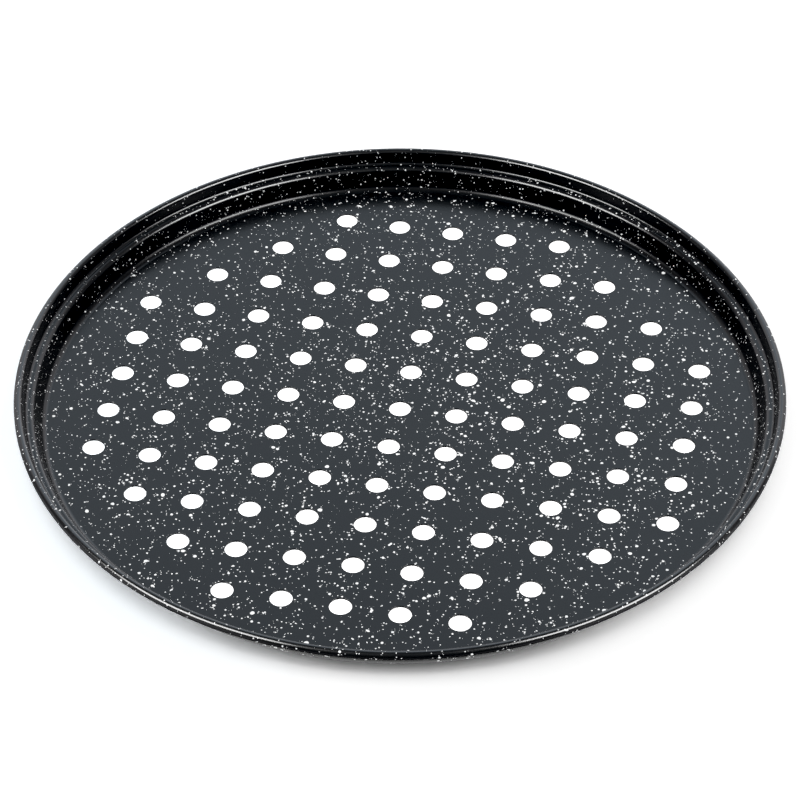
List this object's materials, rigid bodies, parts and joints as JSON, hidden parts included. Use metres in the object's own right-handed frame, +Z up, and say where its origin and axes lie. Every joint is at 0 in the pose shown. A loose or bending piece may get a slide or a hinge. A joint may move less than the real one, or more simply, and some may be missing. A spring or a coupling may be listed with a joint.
{
  "type": "perforated pizza pan",
  "caption": "Shallow round perforated pan for baking pizza, with a sloped lower wall, a flat ledge and a wired rolled rim.",
  "frame": {"origin": "centre of the underside, on the surface that the pan rests on", "axes": "+Z up out of the dish along the pan's axis; the square grid of holes runs along X and Y"},
  "size_m": [0.321, 0.321, 0.0164],
  "materials": {
    "speckled_nonstick": "satin dark grey non-stick coating with fine white flecks, on sheet steel",
    "steel_wire": "bright drawn wire"
  },
  "bodies": {
    "root": {"pan_shell": "speckled_nonstick", "rim_wire": "steel_wire"}
  },
  "joints": []
}
